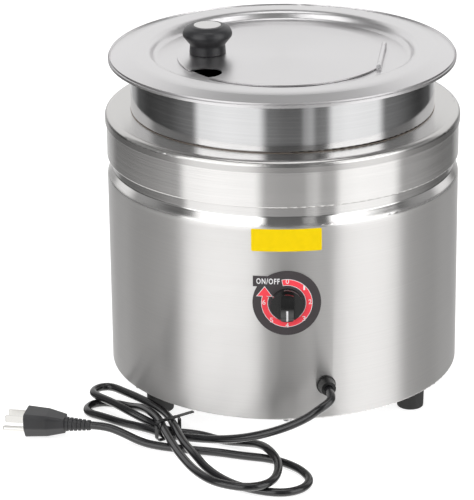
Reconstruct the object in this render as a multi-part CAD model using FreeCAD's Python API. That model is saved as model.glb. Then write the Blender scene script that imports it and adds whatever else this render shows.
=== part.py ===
import FreeCAD, Part
import math
import os

# Electric soup kettle: heated outer body, lift-out pot, notched hinged lid, dial and mains lead.
# Millimetres, +Z up, front of the kettle towards -Y, origin on the floor under the kettle's axis.
V = FreeCAD.Vector
UP = V(0, 0, 1)

# Outer shell
shell_radius = 152.3
shell_sheet = 0.8
foot_clearance = 27.0
hem_width = 12.0
hem_bend = 1.0
rim_flange = 8.0
groove_bottom = 200.5
groove_height = 16.1
groove_depth = 4.2
groove_slope = 7.0
groove_lower_bend = 4.0
groove_inner_bend = 2.0
groove_lip_bend = 0.6
groove_lip_rise = 0.8
deck_top = 257.0
deck_sheet = 0.8
deck_rim_gap = 0.3
deck_rim_height = 9.6
deck_rim_bend = 4.2
ledge_width = 25.8
collar_depth = 11.0
collar_bend = 0.4
slip = 0.2
cut_margin = 2.0
weld = 0.2

# Opening, water well and lift-out pot
well_sheet = 0.8
well_depth = 195.0
well_flange = 12.0
well_bend = 12.0
well_rim_bend = 1.0
pot_clearance = 3.5
neck_step = 4.5
pot_sheet = 0.8
pot_depth_below_deck = 170.0
pot_rim_height = 45.0
pot_rim_overhang = 12.0
pot_lip = 1.8
pot_bend = 16.0
pot_step_bend = 1.0
pot_neck_bend = 1.2
pot_lip_bend = 0.6

# Lid ring
lid_turn = -7.0
lid_overhang = 6.4
lid_sheet = 1.0
lid_hem = 9.0
lid_hem_bend = 0.6
lid_edge_height = 1.6
lid_edge_bend = 2.0
lid_height = 7.0
lid_skirt = 18.5
lid_skirt_bend = 24.0
lid_flat = 17.0
lid_flat_bend = 5.0
lid_slope = 3.8
lid_recess = 8.0
lid_floor_bend = 5.0
lid_floor_ring = 23.1
hinge_shelf = 8.0

# Hinged flap
flap_overlap = 3.0
flap_sheet = 1.2
flap_rest_gap = 0.3
flap_chord_overlap = 4.3
barrel_radius = 2.1
barrel_gap = 0.1
pin_radius = 1.0
pin_clearance = 0.05
hinge_end_gap = 0.2
end_knuckle = 8.0
knuckle_gap = 0.5
pin_head = 1.7
pin_head_height = 0.8
notch_radius = 14.0
notch_inset = 7.0
notch_angle = 45.0

# Flap knob
flap_knob_inset = 25.7
flap_knob_base = 15.8
flap_knob_head = 21.9
flap_knob_height = 24.5
flap_knob_foot_bend = 0.8
flap_knob_waist_taper = 0.6
flap_knob_waist_height = 7.8
flap_knob_waist_bend = 3.0
flap_knob_flare_height = 16.2
flap_knob_flare_bend = 4.0
flap_knob_brow_inset = 2.2
flap_knob_brow_height = 22.0
flap_knob_brow_bend = 5.0
flap_knob_lip = 2.4
flap_knob_lip_bend = 4.0
cap_radius = 11.6
cap_sheet = 1.0
cap_proud = 0.2
knob_screw_radius = 2.0
knob_screw_reach = 14.0
knob_screw_end_gap = 1.0
knob_screw_head = 4.0
knob_screw_head_height = 2.4

# Dial, thermostat and control knob
dial_height = 133.4
dial_radius = 28.5
dial_sheet = 0.4
dial_tab_left = 28.0
dial_tab_right = 5.0
dial_tab_bottom = 14.6
dial_tab_top = 23.8
bushing_radius = 5.0
bushing_reach = 4.0
bushing_nut_flats = 14.0
bushing_nut_height = 2.0
thermostat_width = 34.0
thermostat_tall = 30.0
thermostat_deep = 13.0
bracket_width = 40.0
bracket_tall = 36.0
bracket_sheet = 1.4
shaft_radius = 3.0
shaft_clearance = 0.05
shaft_floor = 3.0
shaft_end_gap = 0.2
knob_skirt_radius = 13.6
knob_skirt_height = 6.0
knob_standoff = 1.0
knob_reach = 14.5
knob_grip_radius = 12.0
knob_grip_width = 10.5
knob_brow_radius = 24.0
knob_face_wall = 4.5
knob_hollow_radius = 10.6
knob_hollow_depth = 4.0
knob_scoop_radius = 16.0
knob_scoop_back = 1.9
bulb_radius = 3.0
bulb_length = 60.0
bulb_height = 150.0
bulb_angle = 40.0

# Heater below the well
heater_plate_radius = 70.0
heater_plate_height = 6.0
element_loop = 55.0
element_radius = 4.0
element_gap = 14.0
element_tail_radius = 2.4
element_tail_inset = 2.0
element_tail_length = 42.0
seat_gap = 0.1
clamp_length = 150.0
clamp_width = 20.0
clamp_sheet = 2.0
stud_radius = 3.0
stud_end = 4.0
heater_nut_flats = 10.0
heater_nut_height = 5.0
cutout_radius = 8.0
cutout_height = 9.0
cutout_inset = 33.3

# Insulation
insulation_seat_gap = 0.3
insulation_air_gap = 9.5
insulation_bottom_gap = 13.8
insulation_top_gap = 16.2
window_width = 52.0
window_height = 52.0
bulb_room = 1.0

# Base plate, feet and terminal block
base_sheet = 1.2
base_edge_gap = 0.5
base_screw_inset = 6.3
base_screw_count = 6
base_screw_angle = 30.0
base_screw_radius = 1.9
base_screw_head = 3.6
base_screw_head_height = 2.2
base_screw_reach = 4.0
vent_count = 12
vent_angle = 15.0
vent_inner = 46.0
vent_outer = 84.0
vent_width = 5.0
foot_count = 3
foot_inset = 26.3
foot_radius = 11.5
foot_top_radius = 12.3
foot_edge = 1.5
foot_recess_radius = 5.0
foot_recess_depth = 14.0
foot_screw_radius = 2.1
foot_screw_end = 1.5
foot_screw_head = 4.2
foot_screw_head_height = 3.0
foot_nut_flats = 7.0
foot_nut_height = 3.2
screw_clearance = 0.1
terminal_size = (44.0, 20.0, 16.0)
terminal_side = 24.0
terminal_inset = 48.3
terminal_pitch = 12.9
terminal_well_radius = 4.0
terminal_well_depth = 5.0

# Cord gland in the shell's front wall
gland_angle = 12.2
gland_height = 58.4
gland_radius = 8.2
gland_flange = 2.5
gland_shoulder = 0.6
gland_nose = 11.0
gland_nose_radius = 6.2
gland_thread_radius = 6.2
gland_thread_reach = 11.0
gland_nut_flats = 16.0
gland_nut_height = 4.0

# Mains lead, its tie and its plug
cord_radius = 3.5
cord_bore_gap = 0.1
cord_inside = 14.0
cord_straight = 17.0
cord_plug_run = 13.0
plug_end = V(-167.4, -125.5, 12.6)
tie_centre = (-101.4, -126.3, 9.25)
tie_heading = 125.0
tie_half_width = 11.2
tie_half_height = 8.1
tie_band = 1.1
tie_width = 4.0
tie_tail = 19.0
tie_tail_width = 3.2
tie_tail_overlap = 4.0
tie_outer_bend = 4.0
tie_inner_bend = 2.5
plug_heading = 170.5
relief_length = 22.0
relief_radius = 4.4
relief_root_radius = 6.4
relief_grooves = 5
relief_groove = 1.6
relief_groove_depth = 0.9
plug_length = 34.0
plug_half_width = 12.5
plug_top = 11.0
plug_bottom = 12.2
plug_root_share = 0.62
plug_middle = 15.3
plug_middle_share = 0.9
plug_edge_bend = 3.5
plug_low_bend = 4.5
plug_low_share = 0.45
plug_side_share = 0.1
blade_spacing = 12.7
blade_thick = 1.5
blade_tall = 6.35
blade_length = 17.0
blade_rise = 4.6
blade_chamfer = 0.5
ground_radius = 2.4
ground_length = 21.0
ground_drop = 7.2
ground_tip = 1.6

# Places worked out from the sizes above
opening_radius = shell_radius - ledge_width
pot_radius = opening_radius - pot_clearance
neck_radius = opening_radius + neck_step
pot_rim_radius = neck_radius + pot_rim_overhang
lid_radius = pot_rim_radius + lid_overhang
lid_flat_outer = lid_radius - lid_skirt
lid_slope_outer = lid_flat_outer - lid_flat
lid_slope_inner = lid_slope_outer - lid_slope
lid_opening_radius = lid_slope_inner - lid_floor_ring
lid_opening_chord = lid_opening_radius - hinge_shelf
flap_radius = lid_opening_radius + flap_overlap
flap_chord = lid_opening_chord + flap_chord_overlap
hinge_length = 2 * (math.sqrt(flap_radius ** 2 - flap_chord ** 2) - hinge_end_gap)
notch_offset = flap_radius - notch_inset
flap_knob_offset = flap_radius - flap_knob_inset
base_screw_circle = shell_radius - base_screw_inset
foot_circle = shell_radius - foot_inset
terminal_front = terminal_inset - shell_radius
deck_under = deck_top - deck_sheet
well_inner = opening_radius + deck_sheet + slip
well_outer = well_inner + well_sheet
well_floor = deck_under - well_depth
well_under = well_floor - well_sheet
pot_floor = deck_top - pot_depth_below_deck
pot_rim_top = deck_top + pot_rim_height
lid_top = pot_rim_top + lid_height
lid_floor = lid_top - lid_recess
flap_under = lid_floor + flap_rest_gap
flap_top = flap_under + flap_sheet
hinge_z = flap_under + barrel_radius
hinge_x = flap_chord + barrel_radius + barrel_gap
hem_top = foot_clearance + shell_sheet
base_top = hem_top + base_sheet
shell_front = -shell_radius
element_z = well_under - heater_plate_height - seat_gap - element_radius
insulation_inner = well_outer + insulation_seat_gap
insulation_outer = shell_radius - shell_sheet - groove_depth - insulation_air_gap
cutout_offset = well_outer - cutout_inset
bulb_circle = well_outer + seat_gap + bulb_radius
clamp_top = element_z - element_radius - seat_gap
dial_face = shell_front - dial_sheet
bracket_front = -math.sqrt((shell_radius - shell_sheet) ** 2 - (bracket_width / 2) ** 2) + slip
cord_exit = V(
    shell_radius * math.sin(math.radians(gland_angle)),
    -shell_radius * math.cos(math.radians(gland_angle)),
    gland_height,
)
cord_out = V(cord_exit.x, cord_exit.y, 0).normalize()
plug_out = V(math.cos(math.radians(plug_heading)), math.sin(math.radians(plug_heading)), 0)

# Middle line of the lead from the gland to the plug: the hank is two loops each side of its tie.
cord_route = [
    cord_exit - cord_out * cord_inside,
    cord_exit + cord_out * cord_straight,
    V(36.5, -175.5, 55.0),
    V(26.5, -182.0, 50.5),
    V(14.8, -182.0, 41.5),
    V(-5.2, -179.0, 31.0),
    V(-28.5, -174.0, 22.5),
    V(-49.5, -162.6, 14.8),
    V(-71.5, -146.3, 7.8),
    V(-103.0, -131.5, 5.2),
    V(-118.5, -115.2, 4.2),
    V(-141.7, -101.8, 3.8),
    V(-157.8, -89.0, 3.8),
    V(-171.4, -80.1, 3.8),
    V(-173.8, -70.3, 3.8),
    V(-169.1, -61.3, 3.8),
    V(-159.7, -57.6, 3.8),
    V(-149.0, -60.5, 3.8),
    V(-135.0, -69.0, 4.2),
    V(-122.5, -88.0, 11.6),
    V(-110.0, -112.0, 13.0),
    V(-104.7, -136.3, 13.4),
    V(-97.2, -163.0, 12.2),
    V(-88.6, -189.8, 11.8),
    V(-77.5, -217.2, 11.8),
    V(-62.6, -238.4, 11.8),
    V(-40.2, -249.1, 11.8),
    V(-23.9, -247.7, 11.8),
    V(-12.3, -236.1, 11.8),
    V(-8.0, -212.0, 12.0),
    V(-11.5, -190.0, 13.0),
    V(-21.5, -168.5, 12.4),
    V(-36.0, -151.5, 6.5),
    V(-55.0, -141.5, 3.8),
    V(-75.0, -128.0, 4.4),
    V(-99.5, -124.5, 5.2),
    V(-114.5, -105.5, 4.0),
    V(-135.0, -93.0, 10.0),
    V(-150.5, -76.0, 11.8),
    V(-167.8, -58.7, 11.8),
    V(-168.2, -49.2, 11.8),
    V(-161.8, -42.2, 11.8),
    V(-152.3, -41.8, 11.8),
    V(-141.0, -53.5, 11.8),
    V(-130.5, -64.5, 12.0),
    V(-114.6, -85.5, 13.0),
    V(-101.0, -109.0, 13.2),
    V(-95.3, -133.7, 13.7),
    V(-88.5, -160.0, 12.4),
    V(-77.4, -185.9, 11.4),
    V(-69.5, -198.4, 6.4),
    V(-57.1, -214.3, 3.8),
    V(-40.7, -231.8, 3.8),
    V(-10.5, -245.2, 3.8),
    V(9.7, -238.8, 3.8),
    V(17.8, -221.5, 3.8),
    V(11.7, -203.3, 3.8),
    V(0.5, -189.5, 3.8),
    V(-15.5, -177.8, 3.8),
    V(-36.5, -172.4, 3.8),
    V(-58.8, -164.1, 3.8),
    V(-82.4, -158.6, 3.8),
    V(-107.9, -151.1, 3.8),
    V(-124.0, -142.8, 4.2),
    V(-140.5, -132.8, 8.8),
    plug_end - plug_out * cord_plug_run,
    plug_end,
]


def point(radius, height):
    return V(radius, 0, height)


def rounded_face(corners):
    """A flat face in the XZ plane from (point, corner radius) pairs."""
    edges = []
    count = len(corners)
    starts = []
    ends = []
    middles = []
    for index, (corner, radius) in enumerate(corners):
        before = corners[index - 1][0] - corner
        after = corners[(index + 1) % count][0] - corner
        turn = math.pi - before.getAngle(after)
        if radius <= 0 or turn < 1e-4:
            starts.append(corner)
            ends.append(corner)
            middles.append(None)
            continue
        cut = radius * math.tan(turn / 2)
        into = V(before).normalize()
        out = V(after).normalize()
        bisector = (into + out).normalize()
        reach = radius / math.cos(turn / 2) - radius
        starts.append(corner + into * cut)
        ends.append(corner + out * cut)
        middles.append(corner + bisector * reach)
    for index in range(count):
        if middles[index] is not None:
            edges.append(Part.Arc(starts[index], middles[index], ends[index]).toShape())
        following = (index + 1) % count
        if ends[index].distanceToPoint(starts[following]) > 1e-6:
            edges.append(Part.LineSegment(ends[index], starts[following]).toShape())
    return Part.Face(Part.Wire(edges))


def sheet_face(path, thick):
    """A sheet's section to the left of a path of (radius, height, inside bend) corners."""
    points = [point(radius, height) for radius, height, bend in path]
    count = len(points)
    near = []
    far = []
    for index, (radius, height, bend) in enumerate(path):
        here = points[index]
        if index == 0:
            ahead = (points[1] - here).normalize()
            far.append((here + V(-ahead.z, 0, ahead.x) * thick, 0))
            near.append((here, 0))
            continue
        behind = (here - points[index - 1]).normalize()
        if index == count - 1:
            far.append((here + V(-behind.z, 0, behind.x) * thick, 0))
            near.append((here, 0))
            continue
        ahead = (points[index + 1] - here).normalize()
        left_turn = behind.x * ahead.z - behind.z * ahead.x > 0
        normal_a = V(-behind.z, 0, behind.x)
        normal_b = V(-ahead.z, 0, ahead.x)
        mitre = (normal_a + normal_b) * (thick / (1 + normal_a.dot(normal_b)))
        near.append((here, bend + thick if left_turn else bend))
        far.append((here + mitre, bend if left_turn else bend + thick))
    return rounded_face(near + far[::-1])


def spin(face):
    return face.revolve(V(0, 0, 0), UP, 360)


def rod(radius, start, end):
    axis = end - start
    return Part.makeCylinder(radius, axis.Length, start, axis)


def ring(inner, outer, bottom, top):
    return rod(outer, V(0, 0, bottom), V(0, 0, top)).cut(rod(inner, V(0, 0, bottom), V(0, 0, top)))


def block(size, centre):
    return Part.makeBox(size[0], size[1], size[2], centre - V(size[0], size[1], size[2]) * 0.5)


def hexagon(flats, height, base, axis):
    corner = flats / math.sqrt(3)
    turns = [math.radians(60 * k) for k in range(7)]
    points = [V(corner * math.cos(turn), corner * math.sin(turn), 0) for turn in turns]
    solid = Part.Face(Part.makePolygon(points)).extrude(V(0, 0, height))
    solid.Placement = FreeCAD.Placement(base, FreeCAD.Rotation(UP, axis))
    return solid


def turned(shape, degrees):
    shape = shape.copy()
    shape.rotate(V(0, 0, 0), UP, degrees)
    return shape


def around(count, first, make):
    """Copies of one solid evenly spaced about the kettle's axis, kept as separate solids."""
    return Part.Compound([turned(make(), first + 360.0 / count * k) for k in range(count)])


def at_gland(shape):
    """Turn a piece built on the front (-Y) line round to the gland's place."""
    return turned(shape, gland_angle)


def front_rod(radius, near, far, height):
    return rod(radius, V(0, near, height), V(0, far, height))


def outer_shell():
    hem = foot_clearance
    slope_top = groove_bottom + groove_slope
    groove_top = groove_bottom + groove_height
    groove_wall = shell_radius - groove_depth
    wall = sheet_face(
        [
            (shell_radius - hem_width, hem, 0),
            (shell_radius, hem, hem_bend),
            (shell_radius, groove_bottom, groove_lower_bend),
            (groove_wall, slope_top, groove_inner_bend),
            (groove_wall, groove_top - groove_lip_rise, groove_lip_bend),
            (shell_radius, groove_top, groove_lip_bend),
            (shell_radius, deck_under, deck_rim_bend),
            (shell_radius - rim_flange, deck_under, 0),
        ],
        shell_sheet,
    )
    shape = spin(wall)
    before = shell_front - cut_margin
    inside = shell_front + shell_sheet + cut_margin
    shape = shape.cut(front_rod(bushing_radius + screw_clearance, before, inside, dial_height))
    shape = shape.cut(at_gland(front_rod(gland_thread_radius + screw_clearance, before, inside, gland_height)))
    return shape.cut(base_screw_holes())


def base_screw_holes():
    hole = base_screw_radius + screw_clearance

    def make():
        return rod(hole, V(base_screw_circle, 0, 0), V(base_screw_circle, 0, base_top + cut_margin))

    return around(base_screw_count, base_screw_angle, make)


def top_deck():
    skirt = shell_radius + deck_rim_gap + deck_sheet
    path = [
        (skirt, deck_top - deck_rim_height, 0),
        (skirt, deck_top, deck_rim_bend),
        (opening_radius, deck_top, collar_bend),
        (opening_radius, deck_top - collar_depth, 0),
    ]
    return spin(sheet_face(path, deck_sheet))


def water_well():
    path = [
        (well_inner + well_flange, deck_under, 0),
        (well_inner, deck_under, well_rim_bend),
        (well_inner, well_floor, well_bend),
        (0, well_floor, 0),
    ]
    well = spin(sheet_face(path, well_sheet))
    stud_bottom = clamp_top - clamp_sheet - heater_nut_height - stud_end
    stud = rod(stud_radius, V(0, 0, stud_bottom), V(0, 0, well_under + well_sheet / 2))
    return well.fuse(stud).removeSplitter()


def inset_pot():
    path = [
        (0, pot_floor, 0),
        (pot_radius, pot_floor, pot_bend),
        (pot_radius, deck_top, pot_step_bend),
        (neck_radius, deck_top, pot_step_bend),
        (neck_radius, pot_rim_top - pot_sheet, pot_neck_bend),
        (pot_rim_radius - pot_sheet, pot_rim_top - pot_sheet, pot_lip_bend),
        (pot_rim_radius - pot_sheet, pot_rim_top - pot_lip, 0),
    ]
    return spin(sheet_face(path, pot_sheet))


def knuckle(start, end, radius):
    return rod(radius, V(hinge_x, start, hinge_z), V(hinge_x, end, hinge_z))


def lid_ring():
    edge = pot_rim_top
    path = [
        (lid_radius - lid_hem, edge, 0),
        (lid_radius, edge, lid_hem_bend),
        (lid_radius, edge + lid_edge_height, lid_edge_bend),
        (lid_flat_outer, lid_top, lid_skirt_bend),
        (lid_slope_outer, lid_top, lid_flat_bend),
        (lid_slope_inner, lid_floor, lid_floor_bend),
        (0, lid_floor, 0),
    ]
    shape = spin(sheet_face(path, lid_sheet))
    hole = rod(lid_opening_radius, V(0, 0, lid_floor - lid_sheet - cut_margin), V(0, 0, lid_floor + cut_margin))
    shelf = V(lid_opening_chord + lid_radius / 2, 0, lid_floor)
    keep = block((lid_radius, 2 * lid_radius, 2 * lid_recess), shelf)
    shape = shape.cut(hole.cut(keep))
    for side in (-1, 1):
        outer = side * hinge_length / 2
        inner = side * (hinge_length / 2 - end_knuckle)
        tube = knuckle(inner, outer, barrel_radius)
        middle = (inner + outer) / 2
        web = block(
            (barrel_radius * 2, end_knuckle, hinge_z - lid_floor + weld),
            V(hinge_x, middle, (hinge_z + lid_floor - weld) / 2),
        )
        bore = knuckle(inner, outer, pin_radius)
        shape = shape.fuse(tube.fuse(web)).cut(bore)
    return turned(shape.removeSplitter(), lid_turn)


def hinge_pin():
    end = hinge_length / 2
    pin = knuckle(-end, end, pin_radius)
    for side in (-1, 1):
        pin = pin.fuse(knuckle(side * end, side * (end + pin_head_height), pin_head))
    return turned(pin.removeSplitter(), lid_turn)


def lid_flap():
    disc = rod(flap_radius, V(0, 0, flap_under), V(0, 0, flap_top))
    beyond = (flap_radius, 2 * (flap_radius + cut_margin), 2 * (flap_sheet + cut_margin))
    disc = disc.cut(block(beyond, V(flap_chord + flap_radius / 2, 0, flap_top)))
    angle = math.radians(180 + notch_angle)
    notch = V(notch_offset * math.cos(angle), notch_offset * math.sin(angle), flap_under - cut_margin)
    through = V(0, 0, flap_sheet + 2 * cut_margin)
    disc = disc.cut(rod(notch_radius, notch, notch + through))
    reach = hinge_length / 2 - end_knuckle - knuckle_gap
    barrel = knuckle(-reach, reach, barrel_radius)
    tongue = block(
        (hinge_x - flap_chord + weld, 2 * reach, flap_sheet),
        V((hinge_x + flap_chord - weld) / 2, 0, (flap_under + flap_top) / 2),
    )
    flap = disc.fuse(tongue).fuse(barrel)
    flap = flap.cut(knuckle(-reach, reach, pin_radius + pin_clearance))
    screw = V(-flap_knob_offset, 0, flap_under - cut_margin)
    flap = flap.cut(rod(knob_screw_radius + screw_clearance, screw, screw + through))
    return turned(flap.removeSplitter(), lid_turn)


def on_flap_knob(shape):
    shape = shape.copy()
    shape.translate(V(-flap_knob_offset, 0, flap_top))
    return turned(shape, lid_turn)


def flap_knob():
    tall = flap_knob_height
    base = flap_knob_base
    head = flap_knob_head
    corners = [
        (point(0, 0), 0),
        (point(base, 0), flap_knob_foot_bend),
        (point(base - flap_knob_waist_taper, flap_knob_waist_height), flap_knob_waist_bend),
        (point(head, flap_knob_flare_height), flap_knob_flare_bend),
        (point(head - flap_knob_brow_inset, flap_knob_brow_height), flap_knob_brow_bend),
        (point(cap_radius + flap_knob_lip, tall), flap_knob_lip_bend),
        (point(cap_radius + slip, tall), 0),
        (point(cap_radius + slip, tall - cap_sheet), 0),
        (point(0, tall - cap_sheet), 0),
    ]
    shape = spin(rounded_face(corners))
    bore = knob_screw_radius + screw_clearance
    shape = shape.cut(rod(bore, V(0, 0, -cut_margin), V(0, 0, knob_screw_reach + knob_screw_end_gap)))
    return on_flap_knob(shape)


def flap_knob_cap():
    top = flap_knob_height
    return on_flap_knob(rod(cap_radius, V(0, 0, top - cap_sheet), V(0, 0, top + cap_proud)))


def flap_knob_screw():
    head_top = -flap_sheet
    shank = rod(knob_screw_radius, V(0, 0, head_top), V(0, 0, knob_screw_reach))
    head = rod(knob_screw_head, V(0, 0, head_top - knob_screw_head_height), V(0, 0, head_top))
    return on_flap_knob(shank.fuse(head).removeSplitter())


def dial_plate():
    inner = shell_radius
    tall = dial_radius + cut_margin
    curved = ring(inner, inner + dial_sheet, dial_height - tall, dial_height + tall)
    back = shell_front + dial_radius
    front = dial_face - cut_margin
    disc = front_rod(dial_radius, back, front, dial_height)
    tab = Part.makeBox(
        dial_tab_left - dial_tab_right,
        back - front,
        dial_tab_top - dial_tab_bottom,
        V(-dial_tab_left, front, dial_height + dial_tab_bottom),
    )
    shape = curved.common(disc.fuse(tab))
    return shape.cut(front_rod(bushing_radius + screw_clearance, back, front, dial_height)).removeSplitter()


def thermostat_bracket():
    plate = block(
        (bracket_width, bracket_sheet, bracket_tall),
        V(0, bracket_front + bracket_sheet / 2, dial_height),
    )
    inside = bracket_front + bracket_sheet + cut_margin
    return plate.cut(front_rod(bushing_radius + screw_clearance, shell_front, inside, dial_height))


def thermostat_body():
    front = bracket_front + bracket_sheet
    body = block(
        (thermostat_width, thermostat_deep, thermostat_tall),
        V(0, front + thermostat_deep / 2, dial_height),
    )
    body = body.fuse(front_rod(bushing_radius, front, dial_face - bushing_reach, dial_height))
    inside = front + thermostat_deep - shaft_floor
    outside = dial_face - bushing_reach - cut_margin
    return body.cut(front_rod(shaft_radius + shaft_clearance, outside, inside, dial_height))


def bushing_nut():
    base = V(0, dial_face, dial_height)
    nut = hexagon(bushing_nut_flats, bushing_nut_height, base, V(0, -1, 0))
    outside = dial_face - bushing_nut_height - cut_margin
    return nut.cut(front_rod(bushing_radius, dial_face + cut_margin, outside, dial_height))


def knob_faces():
    """Back and front of the control knob along Y."""
    back = dial_face - knob_standoff
    return back, back - knob_reach


def thermostat_shaft():
    start = bracket_front + bracket_sheet + thermostat_deep - shaft_floor - shaft_end_gap
    end = knob_faces()[1] + knob_face_wall
    return front_rod(shaft_radius, start, end, dial_height)


def control_knob():
    back, front = knob_faces()
    step = back - knob_skirt_height
    skirt = front_rod(knob_skirt_radius, back, step, dial_height)
    grip = front_rod(knob_grip_radius, step, front, dial_height)
    for side in (-1, 1):
        far = side * (knob_grip_width / 2 + knob_scoop_radius)
        low = V(far, front + knob_scoop_back, dial_height - 2 * knob_skirt_radius)
        high = V(far, front + knob_scoop_back, dial_height + 2 * knob_skirt_radius)
        grip = grip.cut(rod(knob_scoop_radius, low, high))
    brow_centre = front + knob_brow_radius
    left = V(-2 * knob_skirt_radius, brow_centre, dial_height)
    right = V(2 * knob_skirt_radius, brow_centre, dial_height)
    knob = skirt.fuse(grip.common(rod(knob_brow_radius, left, right)))
    hollow = front_rod(knob_hollow_radius, back + cut_margin, back - knob_hollow_depth, dial_height)
    bore = front_rod(shaft_radius, back, front + knob_face_wall, dial_height)
    return knob.cut(hollow).cut(bore).removeSplitter()


def sensor_bulb():
    low = V(0, -bulb_circle, bulb_height - bulb_length / 2)
    bulb = rod(bulb_radius, low, low + V(0, 0, bulb_length))
    return turned(bulb, bulb_angle)


def heater_plate():
    bottom = well_under - heater_plate_height
    disc = rod(heater_plate_radius, V(0, 0, bottom), V(0, 0, well_under))
    return disc.cut(rod(stud_radius + screw_clearance, V(0, 0, bottom), V(0, 0, well_under)))


def heater_element():
    loop = Part.makeTorus(element_loop, element_radius, V(0, 0, element_z), UP)
    half = element_gap / 2
    room = 4 * element_radius
    loop = loop.cut(block((room, element_gap, room), V(element_loop, 0, element_z)))
    for side in (-1, 1):
        out = math.sqrt(element_loop ** 2 - half ** 2)
        start = V(out, side * (half + element_tail_inset), element_z)
        loop = loop.fuse(rod(element_tail_radius, start, start + V(element_tail_length, 0, 0)))
    return loop.removeSplitter()


def heater_clamp():
    bar = block((clamp_width, clamp_length, clamp_sheet), V(0, 0, clamp_top - clamp_sheet / 2))
    below = V(0, 0, clamp_top - clamp_sheet - cut_margin)
    return bar.cut(rod(stud_radius + screw_clearance, below, V(0, 0, clamp_top + cut_margin)))


def heater_nut():
    top = clamp_top - clamp_sheet
    nut = hexagon(heater_nut_flats, heater_nut_height, V(0, 0, top - heater_nut_height), UP)
    return nut.cut(rod(stud_radius, V(0, 0, top - heater_nut_height - cut_margin), V(0, 0, top + cut_margin)))


def thermal_cutout():
    place = V(0, cutout_offset, well_under - cutout_height)
    return rod(cutout_radius, place, place + V(0, 0, cutout_height))


def insulation_wrap():
    bottom = well_floor + insulation_bottom_gap
    wrap = ring(insulation_inner, insulation_outer, bottom, deck_under - insulation_top_gap)
    thick = 2 * (insulation_outer - insulation_inner)
    deep = 2 * (shell_radius - well_outer)
    wrap = wrap.cut(block((window_width, deep, window_height), V(0, -insulation_outer, dial_height)))
    room = 2 * (bulb_radius + bulb_room)
    slot = block((room, room + thick, bulb_length + room), V(0, -bulb_circle, bulb_height))
    return wrap.cut(turned(slot, bulb_angle))


def base_plate():
    outer = shell_radius - shell_sheet - hem_bend - base_edge_gap
    plate = rod(outer, V(0, 0, hem_top), V(0, 0, base_top))
    plate = plate.cut(base_screw_holes())

    def foot_hole():
        below = V(0, foot_circle, 0)
        return rod(foot_screw_radius + screw_clearance, below, below + V(0, 0, base_top + cut_margin))

    def vent():
        middle = (vent_inner + vent_outer) / 2
        return block((vent_outer - vent_inner, vent_width, 2 * (base_sheet + cut_margin)), V(middle, 0, base_top))

    plate = plate.cut(around(foot_count, 0, foot_hole))
    return plate.cut(around(vent_count, vent_angle, vent))


def base_screw():
    x = base_screw_circle
    shank = rod(base_screw_radius, V(x, 0, foot_clearance), V(x, 0, base_top + base_screw_reach))
    head = rod(base_screw_head, V(x, 0, foot_clearance - base_screw_head_height), V(x, 0, foot_clearance))
    return shank.fuse(head).removeSplitter()


def foot():
    corners = [
        (point(foot_recess_radius, 0), 0),
        (point(foot_radius, 0), foot_edge),
        (point(foot_top_radius, hem_top), 0),
        (point(foot_screw_radius + screw_clearance, hem_top), 0),
        (point(foot_screw_radius + screw_clearance, foot_recess_depth), 0),
        (point(foot_recess_radius, foot_recess_depth), 0),
    ]
    shape = spin(rounded_face(corners))
    shape.translate(V(0, foot_circle, 0))
    return shape


def foot_screw():
    y = foot_circle
    top = base_top + foot_nut_height + foot_screw_end
    shank = rod(foot_screw_radius, V(0, y, foot_recess_depth), V(0, y, top))
    head = rod(foot_screw_head, V(0, y, foot_recess_depth - foot_screw_head_height), V(0, y, foot_recess_depth))
    return shank.fuse(head).removeSplitter()


def foot_nut():
    nut = hexagon(foot_nut_flats, foot_nut_height, V(0, foot_circle, base_top), UP)
    top = base_top + foot_nut_height + cut_margin
    return nut.cut(rod(foot_screw_radius, V(0, foot_circle, 0), V(0, foot_circle, top)))


def terminal_block():
    tall = terminal_size[2]
    top = base_top + tall
    shape = block(terminal_size, V(terminal_side, terminal_front, base_top + tall / 2))
    for k in (-1, 0, 1):
        bottom = V(terminal_side + k * terminal_pitch, terminal_front, top - terminal_well_depth)
        shape = shape.cut(rod(terminal_well_radius, bottom, bottom + V(0, 0, terminal_well_depth + cut_margin)))
    return shape


def gland_body():
    skin = shell_front
    nose_end = skin - gland_nose
    flange = front_rod(gland_radius, skin, skin - gland_flange, gland_height)
    nose = Part.makeCone(
        gland_radius - gland_shoulder,
        gland_nose_radius,
        gland_nose - gland_flange,
        V(0, skin - gland_flange, gland_height),
        V(0, -1, 0),
    )
    thread = front_rod(gland_thread_radius, skin, skin + gland_thread_reach, gland_height)
    body = flange.fuse(nose).fuse(thread)
    low = V(0, 0, gland_height - 2 * gland_radius)
    seat = rod(shell_radius, low, low + V(0, 0, 4 * gland_radius))
    zone = front_rod(gland_radius + cut_margin, skin + cut_margin, skin - cut_margin, gland_height)
    zone = zone.cut(front_rod(gland_thread_radius, skin + 2 * cut_margin, skin - 2 * cut_margin, gland_height))
    body = body.cut(seat.common(zone))
    inside = skin + gland_thread_reach + cut_margin
    bore = front_rod(cord_radius + cord_bore_gap, nose_end - cut_margin, inside, gland_height)
    return at_gland(body.cut(bore).removeSplitter())


def gland_nut():
    inner_wall = -math.sqrt((shell_radius - shell_sheet) ** 2 - (gland_nut_flats / 2) ** 2) + slip
    nut = hexagon(gland_nut_flats, gland_nut_height, V(0, inner_wall, gland_height), V(0, 1, 0))
    inside = inner_wall + gland_nut_height + cut_margin
    hole = front_rod(gland_thread_radius, inner_wall - cut_margin, inside, gland_height)
    return at_gland(nut.cut(hole))


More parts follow.
